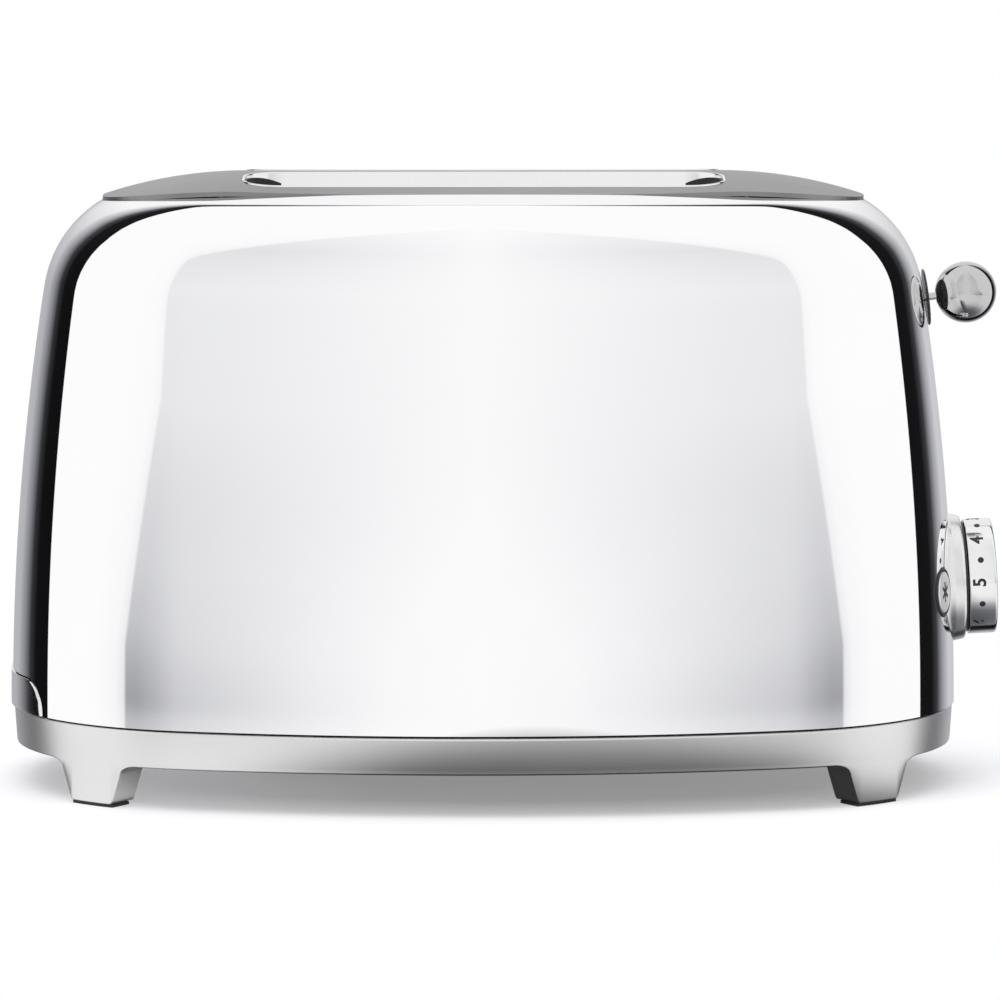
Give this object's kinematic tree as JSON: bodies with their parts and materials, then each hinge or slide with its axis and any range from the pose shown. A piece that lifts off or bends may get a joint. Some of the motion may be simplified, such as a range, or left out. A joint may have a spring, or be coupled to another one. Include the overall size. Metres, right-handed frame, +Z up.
{
  "type": "two-slice toaster",
  "caption": "Toaster with a polished domed shell on a footed cast band, bread slots under bright rims, a ball lever on a leaning slide and a numbered browning dial.",
  "frame": {"origin": "on the table, under the centre of the whole toaster at rest", "axes": "+X along the body towards the lever and the dial, +Y from the front to the back, +Z up"},
  "size_m": [0.3258, 0.195, 0.2005],
  "materials": {
    "polished_shell": "mirror polished",
    "satin_cast": "satin cast",
    "satin_panel": "fine satin",
    "bright_rim": "bright polished",
    "tray_metal": "satin",
    "bezel_metal": "turned satin",
    "knob_metal": "polished",
    "button_metal": "light satin",
    "black_plastic": "matt black",
    "rubber": "matt",
    "zinc_sheet": "plain zinc plated sheet",
    "guide_steel": "ground",
    "bush_brass": "plain turned",
    "coil_copper": "enamelled winding",
    "heat_shield": "bright rolled",
    "mica": "dull mica board",
    "heater_ribbon": "oxidised ribbon",
    "guard_wire": "plated wire",
    "rack_steel": "plated strip",
    "board_green": "lacquered board",
    "terminal_cream": "plain"
  },
  "bodies": {
    "body": {"base_frame": "satin_cast", "base_screws": "zinc_sheet", "body_shell": "polished_shell", "bottom_plate": "zinc_sheet", "button_rings": "black_plastic", "button_switches": "black_plastic", "chassis_left": "zinc_sheet", "chassis_right": "zinc_sheet", "control_board": "board_green", "control_bracket": "zinc_sheet", "cord_gland": "black_plastic", "cord_wrap": "black_plastic", "dial_bezel": "bezel_metal", "dial_gasket": "black_plastic", "dial_potentiometer": "black_plastic", "foot_pads": "rubber", "guide_base": "zinc_sheet", "guide_lugs": "zinc_sheet", "guide_rods": "guide_steel", "heat_shield_back": "heat_shield", "heat_shield_front": "heat_shield", "heater_board_back_inner": "mica", "heater_board_back_outer": "mica", "heater_board_front_inner": "mica", "heater_board_front_outer": "mica", "heater_ribbon_back_inner": "heater_ribbon", "heater_ribbon_back_outer": "heater_ribbon", "heater_ribbon_front_inner": "heater_ribbon", "heater_ribbon_front_outer": "heater_ribbon", "magnet_coil": "coil_copper", "magnet_core": "guide_steel", "slot_rim_back": "bright_rim", "slot_rim_front": "bright_rim", "spring_bracket": "zinc_sheet", "terminal_block": "terminal_cream", "top_panel": "satin_panel", "tray_rails": "zinc_sheet"},
    "carriage": {"carriage": "zinc_sheet", "carriage_bushes": "bush_brass", "armature": "guide_steel", "bread_rack_front": "rack_steel", "bread_rack_back": "rack_steel", "lever_knob": "knob_metal", "lever_collar": "polished_shell", "carriage_spring": "guide_steel"},
    "guard_front_inner": {"bread_guard_front_inner": "guard_wire"},
    "guard_front_outer": {"bread_guard_front_outer": "guard_wire"},
    "guard_back_inner": {"bread_guard_back_inner": "guard_wire"},
    "guard_back_outer": {"bread_guard_back_outer": "guard_wire"},
    "dial": {"dial_knob": "knob_metal", "dial_shaft": "guide_steel"},
    "button_front": {"button_front": "button_metal"},
    "button_back": {"button_back": "button_metal"},
    "tray": {"crumb_tray": "tray_metal", "tray_handle": "tray_metal"}
  },
  "joints": [
    {"name": "lever_slide", "type": "slide", "parent": "body", "child": "carriage", "axis": [-0.1253, 0, 0.9921], "range_m": [-0.0516, 0], "stiffness_N_per_m": 100, "springref_m": 0.04, "deforming": ["carriage_spring"]},
    {"name": "guard_front_inner_slide", "type": "slide", "parent": "body", "child": "guard_front_inner", "axis": [0, -1, 0], "range_m": [0, 0.0055]},
    {"name": "guard_front_outer_slide", "type": "slide", "parent": "body", "child": "guard_front_outer", "axis": [0, 1, 0], "range_m": [0, 0.0055]},
    {"name": "guard_back_inner_slide", "type": "slide", "parent": "body", "child": "guard_back_inner", "axis": [0, 1, 0], "range_m": [0, 0.0055]},
    {"name": "guard_back_outer_slide", "type": "slide", "parent": "body", "child": "guard_back_outer", "axis": [0, -1, 0], "range_m": [0, 0.0055]},
    {"name": "dial_turn", "type": "hinge", "parent": "body", "child": "dial", "pos_m": [0.14772, 0, 0.0656], "axis": [0.9988, 0, 0.0489], "range_deg": [-135, 90]},
    {"name": "button_front_press", "type": "slide", "parent": "body", "child": "button_front", "axis": [0.9388, -0.3411, 0.0479], "range_m": [-0.0015, 0], "stiffness_N_per_m": 400, "springref_m": 0.0015},
    {"name": "button_back_press", "type": "slide", "parent": "body", "child": "button_back", "axis": [0.9388, 0.3411, 0.0479], "range_m": [-0.0015, 0], "stiffness_N_per_m": 400, "springref_m": 0.0015},
    {"name": "tray_slide", "type": "slide", "parent": "body", "child": "tray", "axis": [-1, 0, 0], "range_m": [0, 0.2]}
  ],
  "couplings": [
    {"joint": "guard_front_inner_slide", "follows": "lever_slide", "ratio": -0.1065},
    {"joint": "guard_front_outer_slide", "follows": "lever_slide", "ratio": -0.1065},
    {"joint": "guard_back_inner_slide", "follows": "lever_slide", "ratio": -0.1065},
    {"joint": "guard_back_outer_slide", "follows": "lever_slide", "ratio": -0.1065}
  ]
}
